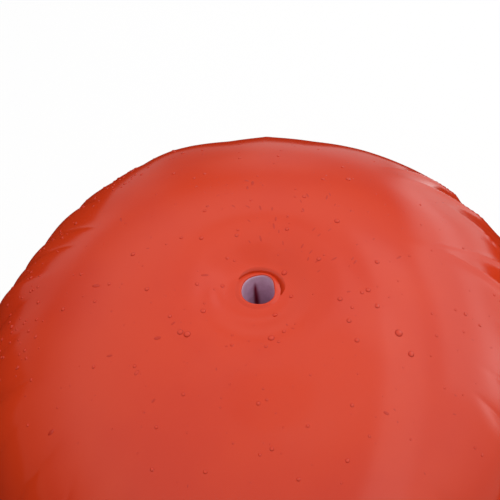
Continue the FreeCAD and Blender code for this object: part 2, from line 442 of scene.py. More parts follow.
def grid_piece(name: str, points: Array, wrap: tuple[bool, bool], caps: Sequence[int] = ()) -> Piece:
    """A mesh over a grid of points.

    Args:
        name: the piece's name.
        points: rows x columns x 3; faces run from each row to the next.
        wrap: whether the last row joins the first, and the last column the first.
        caps: rows closed by a fan to their middle, 0 for the first and -1 for the last.

    Returns:
        The new object, smooth shaded; the faces of a closed one point outwards.
    """
    rows, columns = points.shape[:2]
    index = np.arange(rows * columns).reshape(rows, columns)
    row_next = np.roll(index, -1, 0) if wrap[0] else index[1:]
    first = index if wrap[0] else index[:-1]
    if wrap[1]:
        quads = np.stack([first, np.roll(first, -1, 1), np.roll(row_next, -1, 1), row_next], -1)
    else:
        quads = np.stack([first[:, :-1], first[:, 1:], row_next[:, 1:], row_next[:, :-1]], -1)
    faces = [tuple(face) for face in quads.reshape(-1, 4).tolist()]
    vertices = points.reshape(-1, 3)
    for cap in caps:
        ring = index[cap]
        middle = len(vertices)
        vertices = np.vstack([vertices, points[cap].mean(0)])
        pairs = zip(ring.tolist(), np.roll(ring, -1).tolist())
        faces += [(a, middle, b) if cap == 0 else (a, b, middle) for a, b in pairs]
    piece = mesh_piece(name, vertices, faces)
    return outwards(piece) if wrap[1] and (wrap[0] or caps) else piece


def mesh_piece(name: str, vertices: Array, faces: Iterable[tuple]) -> Piece:
    """A smooth-shaded object.

    Args:
        name: its name.
        vertices: count x 3.
        faces: each face's vertex numbers.

    Returns:
        The new object, in the scene.
    """
    mesh = bpy.data.meshes.new(name)
    mesh.from_pydata(vertices.tolist(), [], list(faces))
    mesh.polygons.foreach_set("use_smooth", np.ones(len(mesh.polygons), bool))
    mesh.update()
    piece = bpy.data.objects.new(name, mesh)
    bpy.context.scene.collection.objects.link(piece)
    return piece


def outwards(piece: Piece) -> Piece:
    """Turn a closed piece's faces outwards, by the sign of the volume that they close.

    Args:
        piece: the closed piece.

    Returns:
        The piece.
    """
    mesh = piece.data
    mesh.calc_loop_triangles()
    corner = np.empty(len(mesh.loop_triangles) * 3, np.int32)
    mesh.loop_triangles.foreach_get("vertices", corner)
    place = np.empty(len(mesh.vertices) * 3)
    mesh.vertices.foreach_get("co", place)
    a, b, c = place.reshape(-1, 3)[corner.reshape(-1, 3)].transpose(1, 0, 2)
    if np.einsum("ij,ij->i", a, np.cross(b, c)).sum() < 0:
        mesh.flip_normals()
    return piece


def mark(piece: Piece, **marks: Array) -> Piece:
    """Give a piece one number per vertex under each name.

    Args:
        piece: the piece.
        marks: the numbers by name; a cap's own vertex, which comes last, keeps 0.

    Returns:
        The piece.
    """
    for name, values in marks.items():
        numbers = np.zeros(len(piece.data.vertices), np.float32)
        flat = np.asarray(values, np.float32).ravel()
        numbers[:flat.size] = flat
        piece.data.attributes.new(name, "FLOAT", "POINT").data.foreach_set("value", numbers)
    return piece


def soft_power(value: Array, power: float) -> Array:
    """The value's size to a power, with its sign."""
    return np.sign(value) * np.abs(value) ** power


def block(name: str, ranges: Array, spot: "Spot", power: float = 0.22, steepest: float = 1.45) -> Piece:
    """A block with soft edges.

    It is a superellipsoid: each half size times a sine or cosine raised to a small power.

    Args:
        name: the piece's name.
        ranges: its least and greatest reach outwards, sideways and along, in the spot's axes.
        spot: the spot.
        power: the power; the smaller it is, the sharper the edges.
        steepest: how near a quarter turn its rows come to its ends, in radians.

    Returns:
        The new piece.
    """
    lift, turn = np.meshgrid(np.linspace(-steepest, steepest, 21), steps_round(48), indexing="ij")
    waist = soft_power(np.cos(lift), power)
    unit = np.stack([soft_power(np.sin(lift), power), waist * soft_power(np.cos(turn), power),
                     waist * soft_power(np.sin(turn), power)], -1)
    points = ranges.mean(1) + unit * (ranges[:, 1] - ranges[:, 0]) / 2
    return grid_piece(name, spot.place(points), (False, True), BOTH_ENDS)


def revolved(name: str, section: Array, spot: "Spot", columns: int, caps: Sequence[int] = ()) -> Piece:
    """A piece turned about a spot's outward axis.

    Args:
        name: the piece's name.
        section: rows of radius and reach, each a number or one per column.
        spot: the spot.
        columns: how many steps the turn has.
        caps: which ends of the section are closed on the axis; with none the section is a loop.

    Returns:
        The new piece.
    """
    turn = steps_round(columns)
    radius, reach = section[..., 0], section[..., 1]
    if section.ndim == 2:
        radius, reach = radius[:, None], reach[:, None]
    points = np.stack(np.broadcast_arrays(reach + 0 * turn, radius * np.cos(turn), radius * np.sin(turn)), -1)
    return grid_piece(name, spot.place(points), (not caps, True), caps)


@dataclass
class Profile:
    """The panel's outer face in section, by the distance along it from the weld."""

    middle: float = 122 * MM
    equator: float = 190 * MM
    edge_radius: float = 100 * MM
    crown_radius: float = 60 * MM
    crown_end: float = 8.0
    funnel_radius: float = 30 * MM
    funnel_angle: float = 20.0
    land_radius: float = 15 * MM
    land_hole: float = 10.6 * MM
    samples: int = 400
    blend: float = 10 * MM
    step: float = 0.25 * MM
    table: Array = field(init=False)

    def __post_init__(self) -> None:
        """Tabulate distance, radius, height above the middle and the normal's rise, arc by arc.

        The arcs are tangent to each other: edge, shoulder, crown and funnel, then the flat land.
        """
        def aim(angle: float) -> Array:
            """The unit vector at an angle in degrees."""
            return np.array([math.cos(math.radians(angle)), math.sin(math.radians(angle))])

        sunk = self.funnel_radius + self.crown_radius
        drop = sunk * (1 - math.cos(math.radians(self.funnel_angle)))
        funnel = np.array([self.land_radius, self.middle - drop + self.funnel_radius])
        crown = funnel - sunk * aim(90 + self.funnel_angle)
        meet = crown + self.crown_radius * aim(90 - self.crown_end)
        edge = np.array([self.equator - self.edge_radius, 0.0])
        span = meet - edge
        reach = (span @ span - self.edge_radius ** 2) / (2 * (span @ aim(90 - self.crown_end) - self.edge_radius))
        shoulder = meet - reach * aim(90 - self.crown_end)
        lean = math.degrees(math.atan2(*(edge - shoulder)[::-1]))
        arcs = [(edge, self.edge_radius, 0.0, lean), (shoulder, reach, lean, 90 - self.crown_end),
                (crown, self.crown_radius, 90 - self.crown_end, 90 + self.funnel_angle),
                (funnel, -self.funnel_radius, 90 + self.funnel_angle, 90.0)]
        rows = []
        travelled = 0.0
        for centre, radius, start, end in arcs:
            angle = np.linspace(start, end, self.samples)
            length = travelled + np.abs(np.radians(angle - start) * radius)
            rise = np.radians(angle)
            place = centre[:, None] + radius * np.stack([np.cos(rise), np.sin(rise)])
            rows.append(np.stack([length, *place, rise]))
            travelled = length[-1]
        last = rows[-1][:, -1]
        width = self.land_radius - self.land_hole
        rows.append(np.array([[travelled + width], [self.land_hole], [last[2]], [last[3]]]))
        self.table = self.blended(np.concatenate(rows, 1), travelled)

    def blended(self, exact: Array, land: float) -> Array:
        """The section with its sudden changes of curvature spread out.

        Each row becomes its moving average, weighted by a raised cosine as long as the blend; the
        flat land stays as it is.

        Args:
            exact: the table of the bare arcs.
            land: the distance at which the land starts.

        Returns:
            The table at even steps.
        """
        even = np.arange(0.0, land, self.step)
        half = int(self.blend / self.step / 2)
        kernel = np.hanning(2 * half + 3)[1:-1]
        rows = [np.append(even, exact[0, -2:])]
        for row in exact[1:]:
            padded = np.pad(np.interp(even, exact[0], row), half, "reflect", reflect_type="odd")
            rows.append(np.append(np.convolve(padded, kernel / kernel.sum(), "valid"), row[-2:]))
        return np.stack(rows)

    @property
    def length(self) -> float:
        """The distance from the weld to the mouth."""
        return float(self.table[0, -1])

    def to_radius(self, radius: float) -> float:
        """The distance from the weld to a radius on the flat land."""
        return self.length - (radius - self.land_hole)

    def at(self, distance: Array) -> tuple[Array, Array, Array]:
        """Radius, height above the middle and the normal's rise at distances from the weld."""
        return tuple(np.interp(distance, self.table[0], row) for row in self.table[1:])


@dataclass(frozen=True)
class Fold:
    """A crease that runs inwards from the weld and dies out.

    Attributes:
        azimuth: its place on the rim, degrees.
        depth: how deep it is on the rim, millimetres; a ridge is negative.
        width: half its width, millimetres.
        reach: where it ends, millimetres from the weld.
        lean: degrees that it turns for each millimetre inwards of the rim.
        start: where it begins, millimetres from the weld.
        spread: how many times wider it is on its higher-azimuth side.
    """

    azimuth: float
    depth: float
    width: float = 4.5
    reach: float = 108.0
    lean: float = 0.0
    start: float = 0.0
    spread: float = 1.0


# The folds of the side that is shown most, as rows of the fields above.
LISTED_FOLDS = tuple(Fold(*row) for row in (
    (-14, 1.6, 5, 112, 0.12), (-7, -2.2, 5, 162, 0.257, 80, 2.4), (7.2, -1.4, 4, 152, 0.10, 76, 1.4),
    (3.5, -1.8, 6, 104, 0.80, 68), (26.7, -2.4, 9, 118, 0.37, 66), (37.7, -2, 5.5, 114, 0.28, 58),
    (20.5, 1.2, 4, 84, 0.30), (33.8, 2.2, 4.5, 84, 0.20), (40.6, 0.7, 4, 84, 0.20), (83.8, -0.9, 6, 100),
    (114.4, 0.5, 4, 95), (123.4, 1.1, 4, 95, -0.05), (133.2, 3, 4, 104, -0.05), (144.6, 2, 3.4, 138, -0.03),
    (151.5, 1.6, 2.6, 126, -0.03), (157.2, 1.4, 4, 104, -0.06), (168, 1.8, 5, 108, -0.08),
))
# Azimuth in degrees and height in millimetres of the slow swell on the rim.
LISTED_SWELL = (
    (12, 0.7), (14.5, 0.6), (17, 0.3), (20, 0.3), (22, 0.1), (25, -0.6), (30, -2), (36, -1.4), (43, 0.1),
    (50, -0.3), (60, -0.7), (66, -1.3), (72, -2), (78, -1.2), (84, -0.3), (90, -0.8), (93, -1), (98, 0.5),
    (102, 1.75), (107, 2.6), (111, 2.1), (115, 1.1), (120, 0.9), (125, 0.5), (129, 0.7), (134, 0.2), (138, 0.1),
    (142, -0.7), (147, -0.5), (152, -0.4), (157, 0.4), (160, 2.4),
)


@dataclass
class Relief:
    """How far the inflated skin stands off its smooth section: slow swells, folds and the wavy weld.

    Reaches and circles are in millimetres, as in Fold, where no unit is given.
    """

    seed: int = 7
    swell_reach: float = 125.0
    swell_ease: float = 1.1
    rim: float = 62.0  # up to here a fold runs straight
    fold_circle: float = 165.0  # the radius on which a turn becomes a distance
    run_in: float = 12.0  # over which a fold with a start rises
    narrowest: float = 0.55  # a fold's share of its width at its end
    lower_reach: Pair = (70.0, 45.0)  # of the bottom panel's folds: least, and added at most
    fitting_circle: float = 170 * MM
    weld_wave: float = 1.1 * MM
    # Count, size and phase of each wave of the weld.
    weld_waves: tuple[Three, ...] = ((17, 1.0, 0.6), (29, 0.7, 2.1), (11, 0.5, 4.0))
    weld_fade: float = 18 * MM
    # Side, azimuth, distance, and the radii inside and outside which the skin is calm and free.
    fittings: list[tuple[Side, float, float, float, float]] = field(default_factory=list)
    folds: list[Fold] = field(init=False)
    swell: Array = field(init=False)

    def __post_init__(self) -> None:
        """Add folds and swells where none are listed, from the seed."""
        draw = np.random.default_rng(self.seed)
        self.folds = list(LISTED_FOLDS)
        azimuth = 178.0
        while azimuth < 338.0:
            self.folds.append(Fold(azimuth, draw.uniform(0.9, 2.2), draw.uniform(4.0, 5.5), draw.uniform(80, 122),
                                   draw.uniform(-0.12, 0.12)))
            azimuth += draw.uniform(8.0, 13.5)
        rest = [(float(a), float(draw.uniform(-0.9, 1.2))) for a in np.arange(168.0, 373.0, 6.5)]
        points = np.array(sorted(list(LISTED_SWELL) + rest))
        looped = np.vstack([points + [turn, 0.0] for turn in (-360.0, 0.0, 360.0)])
        raw = np.interp(np.arange(0.0, 360.0, 0.5), looped[:, 0], looped[:, 1])
        kernel = np.hanning(9)
        self.swell = np.convolve(np.pad(raw, len(kernel) // 2, "wrap"), kernel / kernel.sum(), "valid")

    def swell_at(self, azimuth: Array) -> Array:
        """The slow swell on the rim, in metres, at azimuths in degrees."""
        turns = np.append(self.swell, self.swell[0])
        return np.interp(azimuth % 360.0, np.arange(0.0, 360.5, 0.5), turns) * MM

    def fade(self, part: Array) -> Array:
        """1.5 (1 - x^3)^2 inside the reach, and nothing beyond."""
        return 1.5 * (1.0 - np.clip(part, 0.0, 1.0) ** 3) ** 2

    def at(self, azimuth: Array, distance: Array, side: Side) -> Array:
        """Height of the relief along the normal.

        Each fold is a valley -depth * exp(-|x| / width), where x is the distance across it, and it
        fades with 1.5 (1 - (d / reach)^3)^2.  The swell fades in the same way.

        Args:
            azimuth: radians.
            distance: metres from the weld.
            side: which panel.

        Returns:
            Metres, of the shape of azimuth and distance together.
        """
        degrees = np.degrees(azimuth)
        inwards = distance / MM
        height = self.swell_at(degrees) * self.fade(inwards / self.swell_reach) / self.swell_ease
        for number, fold in enumerate(self.folds):
            reach, lean = fold.reach, fold.lean
            if side is Side.BOTTOM:
                reach = self.lower_reach[0] + (fold.reach * (number + 3) * 7) % self.lower_reach[1]
                lean = -fold.lean
            centre = fold.azimuth + lean * (inwards - self.rim * eased(inwards, 0.0, self.rim))
            across = np.radians(degrees_off(degrees, centre)) * self.fold_circle
            across = np.where(across > 0.0, across / fold.spread, -across)
            width = fold.width * (self.narrowest + (1.0 - self.narrowest) * eased(1.2 - inwards / reach))
            begun = eased(inwards, fold.start - self.run_in, self.run_in) if fold.start else 1.0
            height = height - fold.depth * MM * np.exp(-across / width) * self.fade(inwards / reach) * begun
        return height * self.calm(azimuth, distance, side)

    def calm(self, azimuth: Array, distance: Array, side: Side) -> Array:
        """How free the skin is to bulge.

        Args:
            azimuth: radians.
            distance: metres from the weld.
            side: which panel.

        Returns:
            0 under a fitting, which holds the skin smooth, and 1 away from it.
        """
        level = np.ones(np.broadcast(azimuth, distance).shape)
        for at_side, at_azimuth, at_distance, inner, outer in self.fittings:
            if at_side is side:
                turn = (azimuth - at_azimuth + math.pi) % TURN - math.pi
                away = np.hypot(turn * self.fitting_circle, distance - at_distance)
                level = level * eased(away, inner, outer - inner)
        return level

    def weld_shift(self, azimuth: Array, distance: Array) -> Array:
        """How far the weld line wanders up and down, as a sum of sines that dies out inwards."""
        wave = sum(size * np.sin(azimuth * count + phase) for count, size, phase in self.weld_waves)
        return self.weld_wave * wave / 1.5 * np.exp(-distance / self.weld_fade)


@dataclass
class Skin:
    """The float's outer surface as a function of azimuth and distance from the weld."""

    profile: Profile = field(default_factory=Profile)
    relief: Relief = field(default_factory=Relief)
    furrow: float = 1.5 * MM
    furrow_radius: float = 14.5 * MM
    furrow_outer: float = 8 * MM
    furrow_inner: float = 4 * MM
    furrow_aim: float = 58.0

    def dip(self, azimuth: Array, distance: Array) -> Array:
        """Depth of the furrow that the collar pulls into the skin.

        depth * exp(-(x / width)^2) * ((1 + cos a) / 2)^3, where x is measured along the section
        from the furrow's line, with one width outside it and one inside, and a is the turn from
        the azimuth where the furrow is deepest.

        Args:
            azimuth: radians.
            distance: metres from the weld.

        Returns:
            Metres, of the shape of azimuth and distance together.
        """
        away = distance - self.profile.to_radius(self.furrow_radius)
        width = np.where(away < 0.0, self.furrow_outer, self.furrow_inner)
        share = (0.5 + 0.5 * np.cos(azimuth - math.radians(self.furrow_aim))) ** 3
        return self.furrow * share * np.exp(-(away / width) ** 2)

    def at(self, azimuth: Array, distance: Array, side: Side, lift: object = 0.0) -> Array:
        """Points of the skin.

        The smooth section is turned about +Z; each point moves along the section's normal by the
        relief, less the furrow, and the lift, and up or down with the wandering weld.

        Args:
            azimuth: radians.
            distance: metres from the weld.
            side: which panel.
            lift: metres off the outer face.

        Returns:
            Points, with x, y and z last.
        """
        azimuth, distance, lift = np.broadcast_arrays(azimuth, distance, lift)
        radius, height, rise = self.profile.at(distance)
        out = self.relief.at(azimuth, distance, side) - self.dip(azimuth, distance) + lift
        level = self.profile.middle + side.value * (height + out * np.sin(rise))
        return polar(radius + out * np.cos(rise), azimuth, level + self.relief.weld_shift(azimuth, distance))


@dataclass(frozen=True)
class Spot:
    """A place on the skin with its own axes: outwards, sideways and along the panel away from the weld."""

    skin: Skin
    side: Side
    azimuth: float
    distance: float

    def cover(self, across: Array, along: Array, lift: Array) -> Array:
        """Points laid on the skin.

        Args:
            across: distances from the spot sideways.
            along: distances from it along the panel, away from the weld.
            lift: metres off the outer face.

        Returns:
            Points, with x, y and z last.
        """
        distance = self.distance + along
        radius, _, _ = self.skin.profile.at(distance)
        return self.skin.at(self.azimuth + across / radius, distance, self.side, lift)

    def place(self, points: Array) -> Array:
        """World points from points in the flat axes at the spot.

        Args:
            points: outwards, sideways and along last, in metres.

        Returns:
            The same points, with x, y and z last.
        """
        radius, height, rise = (float(value) for value in self.skin.profile.at(self.distance))
        out, across, along = points[..., 0], points[..., 1], points[..., 2]
        reach = radius + out * math.cos(rise) - along * math.sin(rise)
        level = height + out * math.sin(rise) + along * math.cos(rise)
        cos, sin = math.cos(self.azimuth), math.sin(self.azimuth)
        return np.stack([reach * cos - across * sin, reach * sin + across * cos,
                         self.skin.profile.middle + self.side.value * level], -1)

    def layer(self, name: str, section: Array, caps: Sequence[int] = ()) -> Piece:
        """A round layer that lies on the skin.

        Args:
            name: the piece's name.
            section: rows of radius and lift.
            caps: which ends of the section are closed at the middle; with none it is a loop.

        Returns:
            The new piece, with its weave marks.
        """
        turn = steps_round(128)
        across, along = section[:, :1] * np.cos(turn), section[:, :1] * np.sin(turn)
        points = self.cover(across, along, section[:, 1:] + 0 * turn)
        return mark(grid_piece(name, points, (not caps, True), caps), warp=across, weft=along)


# ---- sub-assemblies --------------------------------------------------------------------------
def paint(piece: Piece, material: Material) -> None:
    """Make a piece's material the only one that it has."""
    piece.data.materials.clear()
    piece.data.materials.append(material)


def hide(piece: Piece, *rays: str) -> None:
    """Keep a piece out of sight of the kinds of ray that are named."""
    for ray in rays:
        setattr(piece, "visible_" + ray, False)


@dataclass
class Assembly:
    """A group of pieces that take their finishes by slot."""

    finishes: dict[Slot, Material]

    def add(self, piece: Piece, slot: Slot, *replaced: str, body: str = FLOAT_BODY) -> None:
        """Give a finished piece the material of its slot and its body, and hide the CAD nodes that it stands for.

        Args:
            piece: the finished piece.
            slot: the record's material slot.
            replaced: the CAD nodes that it stands for.
            body: the CAD body that it rides on.
        """
        paint(piece, self.finishes[slot])
        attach(piece, body)
        if replaced:
            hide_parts(*replaced)
        LOG.info("%s: %d faces on %s", piece.name, len(piece.data.polygons), body)


@dataclass
class Panels(Assembly):
    """The two welded panels."""

    skin: Skin
    valve: Spot
    columns: int = 720
    thickness: float = 0.8 * MM
    # Start, end and step of the rows from the weld inwards; then the start and number of the last ones.
    spacing: tuple[Three, ...] = (
        (0.8 * MM, 60 * MM, 1.6 * MM), (60 * MM, 130 * MM, 2.6 * MM), (130 * MM, 210 * MM, 4.2 * MM),
    )
    crown: tuple[float, int] = (212 * MM, 18)
    weld_width: float = 2.0 * MM
    weld_gap: float = 0.03 * MM
    # How far out, in widths, and how high, in thicknesses, the weld's edge runs.
    weld_section: tuple[Pair, ...] = ((0.0, 1.0), (0.7, 1.0), (1.0, 0.75), (1.0, 0.2), (0.7, 0.0), (-0.4, 0.0))
    inner_step: int = 6
    throat: Pair = (6.2 * MM, 12 * MM)  # radius and half length of the hole

    def build(self, side: Side) -> None:
        """One panel as a closed wall.

        The section is a closed loop: the outer face from the mouth to the weld, round the weld's
        edge and back along the inner face.  The loop is carried round the axis.

        Args:
            side: which panel.
        """
        azimuth = steps_round(self.columns)
        length = self.skin.profile.length
        crown = np.linspace(self.crown[0], length, self.crown[1])
        rows = np.concatenate([np.arange(*stretch) for stretch in self.spacing] + [crown])
        inner_rows = rows[::self.inner_step]
        outer = self.skin.at(azimuth, rows[::-1, None], side)
        inner = self.skin.at(azimuth, inner_rows[:, None], side, -self.thickness)
        reach, level = np.array(self.weld_section).T
        level = level * (self.thickness - self.weld_gap) + self.weld_gap
        rim = self.skin.at(azimuth, np.zeros(1), side)
        weld = rim + polar((reach * self.weld_width)[:, None], azimuth, (side.value * level)[:, None])
        piece = grid_piece(side.named("skin"), np.concatenate([outer, weld, inner]), (True, True))
        cut = length - np.concatenate([rows[::-1], -self.weld_width * reach, inner_rows])[:, None]
        mark(piece, warp=cut * np.cos(azimuth), weft=cut * np.sin(azimuth))
        if side is Side.TOP:
            self.pierce(piece)
        self.add(piece, Slot.COATED, side.named("panel"))

    def pierce(self, piece: Piece) -> None:
        """Cut the hole that the valve breathes through.

        Args:
            piece: the top panel.
        """
        radius, reach = self.throat
        section = np.array([(0.3 * radius, reach), (radius, reach), (radius, -reach), (0.3 * radius, -reach)])
        cutter = revolved("throat_cutter", section, self.valve, 48, BOTH_ENDS)
        cut = piece.modifiers.new("throat", "BOOLEAN")
        cut.operation = "DIFFERENCE"
        cut.solver = "EXACT"
        cut.object = cutter
        bpy.context.view_layer.update()
        piece.data = bpy.data.meshes.new_from_object(piece.evaluated_get(bpy.context.evaluated_depsgraph_get()))
        piece.data.name = piece.name
        piece.modifiers.clear()
        bpy.data.objects.remove(cutter)


@dataclass
class Mouth(Assembly):
    """The collar round each mouth of the mast sleeve, and the sleeve itself."""

    skin: Skin
    bore: float = 10.0 * MM
    slack: float = 0.1 * MM  # how much wider the upper mouth is on average
    waves: tuple[Three, ...] = (
        (1, 0.43, 0.60), (2, 0.28, -2.69), (3, 0.33, -3.09), (4, 0.27, -2.98), (5, 0.05, 2.27),
    )
    collar: float = 14.6 * MM
    collar_thickness: float = 0.9 * MM
    rolled: float = 0.16  # share of the collar's width that the roll takes
    roll_drop: float = 0.25  # in thicknesses, as the next two
    edge_drop: float = 0.2
    under: tuple[Pair, ...] = ((1.0, -0.5), (0.6, -0.6), (0.1, -0.6))
    columns: int = 192
    rows: int = 30
    upper: float = 40 * MM  # depth at which the fine rows end
    lower: float = 44 * MM  # depth at which the coarse ones start
    sleeve_thickness: float = 0.6 * MM
    ease: float = 30 * MM  # depth at which the mouth's shape is left
    taper: float = 0.03
    inset: float = 0.4 * MM  # how far the wall stands back between the creases
    # Azimuth, depth in millimetres and half width in degrees; the first one gets painted shade down its fold.
    creases: tuple[Three, ...] = ((98.0, 3.4, 8.0), (222.0, 2.6, 12.0), (338.0, 2.8, 11.0))
    # the painted crease shade's half width and where it starts down the sleeve
    crease_shade_width: Pair = (3.0, 0.30)  # degrees at the mouth, and more for each millimetre down
    crease_shade_start: Pair = (4.0, 10.0)  # millimetres down, start and length

    def lip(self, azimuth: Array) -> Array:
        """The upper mouth's radius: the bore plus waves of size * cos(count * azimuth + phase)."""
        waves = sum(size * np.cos(count * azimuth + phase) for count, size, phase in self.waves)
        return self.bore + self.slack + waves * MM

    def height(self) -> float:
        """How high the skin is at the mouth, above the float's middle."""
        return float(self.skin.profile.at(self.skin.profile.length)[1])

    def build_collar(self, side: Side) -> None:
        """A soft rolled ring.

        From the lip outwards it rises in a quarter turn, then falls as a half cosine to just under
        the panel, so that its outer edge doesn't show; there it follows the skin's furrow down.

        Args:
            side: which mouth.
        """
        azimuth = steps_round(self.columns)
        lip = self.lip(azimuth) if side is Side.TOP else np.full(self.columns, self.bore)
        roll = np.linspace(0.0, math.pi / 2, 7)
        fall = np.linspace(0.0, math.pi, 15)[1:]
        under = np.array(self.under).T
        half = (1.0 + self.edge_drop) / 2
        part = np.concatenate([self.rolled * (1 - np.cos(roll)),
                               self.rolled + (1 - self.rolled) * fall / math.pi, under[0]])[:, None]
        lift = np.concatenate([np.sin(roll) * (1 + self.roll_drop) - self.roll_drop,
                               1.0 - half + half * np.cos(fall), under[1]])[:, None]
        edge = self.skin.dip(azimuth, self.skin.profile.to_radius(self.collar))
        height = self.height() + lift * self.collar_thickness - edge * eased(part)
        loop = polar(lip + part * (self.collar - lip), azimuth, self.skin.profile.middle + side.value * height)
        piece = mark(grid_piece(side.named("lip"), loop, (True, True)), warp=loop[..., 0], weft=loop[..., 1])
        self.add(piece, Slot.COATED, side.named("collar"))

    def build_sleeve(self) -> None:
        """The fabric tube, round at each mouth and folded lengthwise between by the air around it."""
        azimuth = steps_round(self.columns)
        mouth = self.height()
        levels = np.concatenate([np.linspace(mouth, mouth - self.upper, self.rows),
                                 np.linspace(mouth - self.lower, -mouth, self.rows)])[:, None]
        depth = np.clip((mouth - np.abs(levels)) / self.ease, 0.0, 1.0)
        away = [np.abs(degrees_off(np.degrees(azimuth), place)) for place, _, _ in self.creases]
        folded = sum(size * np.exp(-off / width) for off, (_, size, width) in zip(away, self.creases)) * MM
        radius = self.lip(azimuth) * (1 - depth * self.taper) + eased(depth * 1.1) * (folded - self.inset)
        tubes = [polar(radius + wall, azimuth, self.skin.profile.middle + levels)
                 for wall in (0.0, self.sleeve_thickness)]
        piece = grid_piece("sleeve_tube", np.concatenate([tubes[0], tubes[1][::-1]]), (True, True))
        down = (mouth - levels) / MM
        # painted shade down the first crease, widening with depth, carried on the mesh for the sleeve's colour
        painted_shade = np.exp(-(away[0] / (self.crease_shade_width[0] + self.crease_shade_width[1] * down)) ** 2)
        painted_shade = painted_shade * eased(down, *self.crease_shade_start)
        self.add(mark(piece, crease=np.concatenate([painted_shade, painted_shade[::-1]])), Slot.SLEEVE, "mast_sleeve")


@dataclass
class RingMount(Assembly):
    """A towing ring's patch and strap; the ring itself is the frame's own."""

    spot: Spot
    name: str
    patch_radius: float = 20 * MM
    patch_face: float = 0.9 * MM
    strap_width: float = 18 * MM
    strap_thickness: float = 0.9 * MM
    strap_tail: float = 13 * MM
    bar_reach: float = 3.2 * MM  # how far the ring's bar stands off
    eye: float = 2.3 * MM  # the strap's radius round the bar
    fillet: float = 1.8 * MM
    tail_end: Pair = (0.6, 0.985)  # shares of the thickness and the width

    def build_patch(self) -> None:
        """A round layer with a rounded edge and a shallow pressed line inside it."""
        edge, face = self.patch_radius / MM, self.patch_face / MM
        section = [(radius, face) for radius in (0.4, 4, 8, 12, 15, 16.2)]
        section += [(16.8, face - 0.18), (17.4, face - 0.18), (18.0, face), (edge - 0.6, face - 0.02),
                    (edge - 0.2, face - 0.15), (edge, face / 2), (edge - 0.05, -0.1), (10.0, -0.1), (0.4, -0.1)]
        piece = self.spot.layer(self.name + "_patch_cloth", np.array(section) * MM, BOTH_ENDS)
        self.add(piece, Slot.COATED, self.name + "_ring_patch")

    def strap_path(self) -> Array:
        """The strap's middle line.

        Straight tail, an arc that turns it up, the arc over the bar, and the same mirrored.

        Returns:
            Rows of along and lift.
        """
        flat = self.patch_face + self.strap_thickness / 2
        over = self.eye + self.strap_thickness / 2
        rise = self.bar_reach - flat - self.fillet
        foot = math.sqrt((over + self.fillet) ** 2 - rise ** 2)
        lean = math.atan2(rise, foot)
        tail = np.stack([np.linspace(self.strap_tail, foot + 0.3 * MM, 12), np.full(12, flat)], -1)
        turn = np.linspace(1.5 * math.pi, math.pi - lean, 9)
        up = np.stack([foot + self.fillet * np.cos(turn), flat + self.fillet + self.fillet * np.sin(turn)], -1)
        arch = np.linspace(-lean, math.pi / 2, 12)[1:]
        top = np.stack([over * np.cos(arch), self.bar_reach + over * np.sin(arch)], -1)
        half = np.concatenate([tail, up, top])
        return np.concatenate([half, half[-2::-1] * [-1, 1]])

    def build_strap(self) -> None:
        """A flat strap with round edges, its section carried along the path and laid on the skin."""
        path = self.strap_path()
        ahead = np.gradient(path, axis=0)
        ahead /= np.linalg.norm(ahead, axis=1, keepdims=True)
        thick, wide = self.strap_thickness / 2, self.strap_width / 2
        edge = np.linspace(-math.pi / 2, math.pi / 2, 7)
        right = np.stack([wide - thick + thick * np.cos(edge), thick * np.sin(edge)], -1)
        run = np.linspace(wide - thick, thick - wide, 14)[1:-1]
        upper = np.stack([run, np.full(run.shape, thick)], -1)
        side, off = np.concatenate([right, upper, -right, -upper]).T
        thinner, narrower = np.ones((2, len(path), 1))
        thinner[[0, -1]], narrower[[0, -1]] = self.tail_end
        along = path[:, :1] + ahead[:, 1:] * off * thinner
        lift = path[:, 1:] - ahead[:, :1] * off * thinner
        across = side * narrower
        piece = grid_piece(self.name + "_strap_cloth", self.spot.cover(across, along, lift), (False, True), BOTH_ENDS)
        length = np.concatenate([[0.0], np.cumsum(np.linalg.norm(np.diff(path, axis=0), axis=1))])[:, None]
        mark(piece, warp=length - length[-1] / 2 + 0 * across, weft=across)
        self.add(piece, Slot.STRAP, self.name + "_ring_strap")


